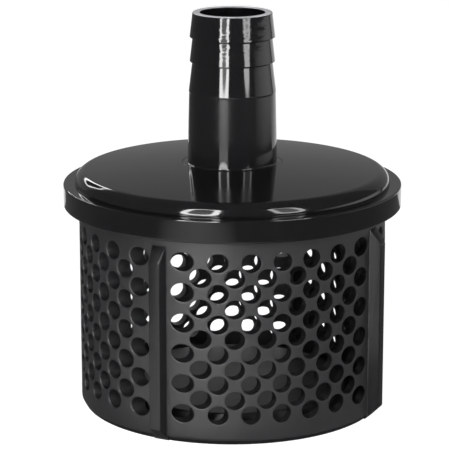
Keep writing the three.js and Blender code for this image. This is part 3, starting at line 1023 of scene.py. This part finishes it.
def standing_sheet(name, finish, azimuth, distance, width, bottom, top):
    """An upright glowing sheet that faces the axis and that the camera doesn't see."""
    out = Vector((math.sin(azimuth), -math.cos(azimuth), 0)) * distance
    along = Vector((math.cos(azimuth), math.sin(azimuth), 0)) * width / 2
    foot, head = Vector((0, 0, bottom)), Vector((0, 0, top))
    staged_sheet(name, finish, (
        out - along + foot, out + along + foot, out + along + head, out - along + head,
    )).visible_camera = False


def soft_glow(name, peak):
    """A glow that fades out towards both sides."""
    finish, graph, place = new_finish(name, "UV")
    side = (graph.parts(place)("X") - 0.5) * 2
    glow = graph.node("ShaderNodeEmission", None, {"Color": (1 - side * side) * peak})()
    graph.node("ShaderNodeOutputMaterial", None, {"Surface": glow})
    return finish


def lamp_glow(name, middle, fade, border):
    """The glow of a light box with rounded corners: a bright border round a middle that fades
    upwards. The form grows from 0 in the middle to 1 at the outline."""
    finish, graph, place = new_finish(name, "UV")
    part = graph.parts(place)
    side, rise = (part("X") - 0.5) * 2, (part("Y") - 0.5) * 2
    form = side.math("ABSOLUTE").math("POWER", 2.6) + rise.math("POWER", 6)
    border_from = 0.3
    inner = middle - part("Y") * fade
    strength = inner + (form > border_from) * (border - inner)
    glow = graph.node("ShaderNodeEmission", None, {"Color": strength})()
    clear = graph.node("ShaderNodeBsdfTransparent")()
    mixed = graph.node("ShaderNodeMixShader", None, {0: form > 1, 1: glow, 2: clear})()
    graph.node("ShaderNodeOutputMaterial", None, {"Surface": mixed})
    return finish


camera_azimuth = math.radians(-18.2)
floor_material = floor_finish()
turn_to_camera = Matrix.Rotation(camera_azimuth, 3, "Z")
floor_parts = {
    "floor_behind": (-mirrored_side, mirrored_from, floor_half, floor_half),
    "floor_beside": (-floor_half, mirrored_from, -mirrored_side, floor_half),
    "floor_around": (-floor_half, -floor_half, floor_half, mirrored_from),
}
for name, (x_low, y_low, x_high, y_high) in floor_parts.items():
    floor = staged_sheet(name, floor_material, [
        turn_to_camera @ Vector((x, y, floor_level))
        for x, y in ((x_low, y_low), (x_high, y_low), (x_high, y_high), (x_low, y_high))
    ])
    floor.visible_glossy = name == "floor_behind"

left, right = camera_azimuth - math.radians(22), camera_azimuth + math.radians(40)
behind = camera_azimuth + math.pi
turn_left = Matrix.Rotation(left, 3, "Z")
table_half, table_near, table_far = 0.15, 0.06, 0.41
table = staged_sheet("table_patch", soft_glow("table_glow", peak=1.05), [
    turn_left @ Vector((x, -y, floor_level + table_rise)) for x, y in (
        (-table_half, table_far), (table_half, table_far), (table_half, table_near),
        (-table_half, table_near))])
table.visible_camera = table.visible_diffuse = False
standing_sheet("left_box", lamp_glow("left_lamp", middle=2.4, fade=2.0, border=20.0),
               left, distance=0.40, width=0.19, bottom=0.085, top=0.54)
standing_sheet("left_skirt", lamp_glow("left_skirt", middle=2.4, fade=0, border=2.4),
               left, distance=0.41, width=0.17, bottom=0.004, top=0.12)
standing_sheet("right_box", lamp_glow("right_lamp", middle=2.3, fade=1.2, border=9.0),
               right, distance=0.40, width=0.16, bottom=0.12, top=0.53)
standing_sheet("right_card", soft_glow("card_glow", peak=1.15),
               camera_azimuth + math.radians(95), distance=0.50, width=0.80, bottom=0.002, top=0.13)
standing_sheet("left_window", lamp_glow("window_lamp", middle=0.05, fade=0, border=6.0),
               camera_azimuth - math.radians(147), distance=0.60, width=0.30, bottom=0.26, top=0.48)
standing_sheet("low_backdrop", soft_glow("backdrop_glow", peak=1.0),
               behind, distance=0.08, width=0.13, bottom=0.001, top=0.055)
standing_sheet("back_wall", lamp_glow("wall_glow", middle=0.27, fade=0, border=0.27),
               behind, distance=2.50, width=6.00, bottom=-0.10, top=2.40)

world = bpy.data.worlds.new("surround")
world.use_nodes = True
world.node_tree.nodes.clear()
surround = Graph(world.node_tree)
glow = surround.node("ShaderNodeBackground", None, {
    "Color": (0.13, 0.13, 0.133, 1), "Strength": 1.0,
})()
surround.node("ShaderNodeOutputWorld", None, {"Surface": glow})
bpy.context.scene.world = world

camera_distance, camera_height = 0.7184, 0.2407
camera_pitch, camera_swing = math.radians(14.14), math.radians(0.194)
lens = bpy.data.cameras.new("camera")
lens.sensor_width, lens.lens = 36.0, 177.3
camera = bpy.data.objects.new("camera", lens)
camera.location = (camera_distance * math.sin(camera_azimuth),
                   -camera_distance * math.cos(camera_azimuth), cad_box[0][2] + camera_height)
camera.rotation_euler = (math.pi / 2 - camera_pitch, 0, camera_azimuth + camera_swing)
bpy.context.scene.collection.objects.link(camera)
bpy.context.scene.camera = camera
bpy.context.scene.view_settings.view_transform = "Standard"
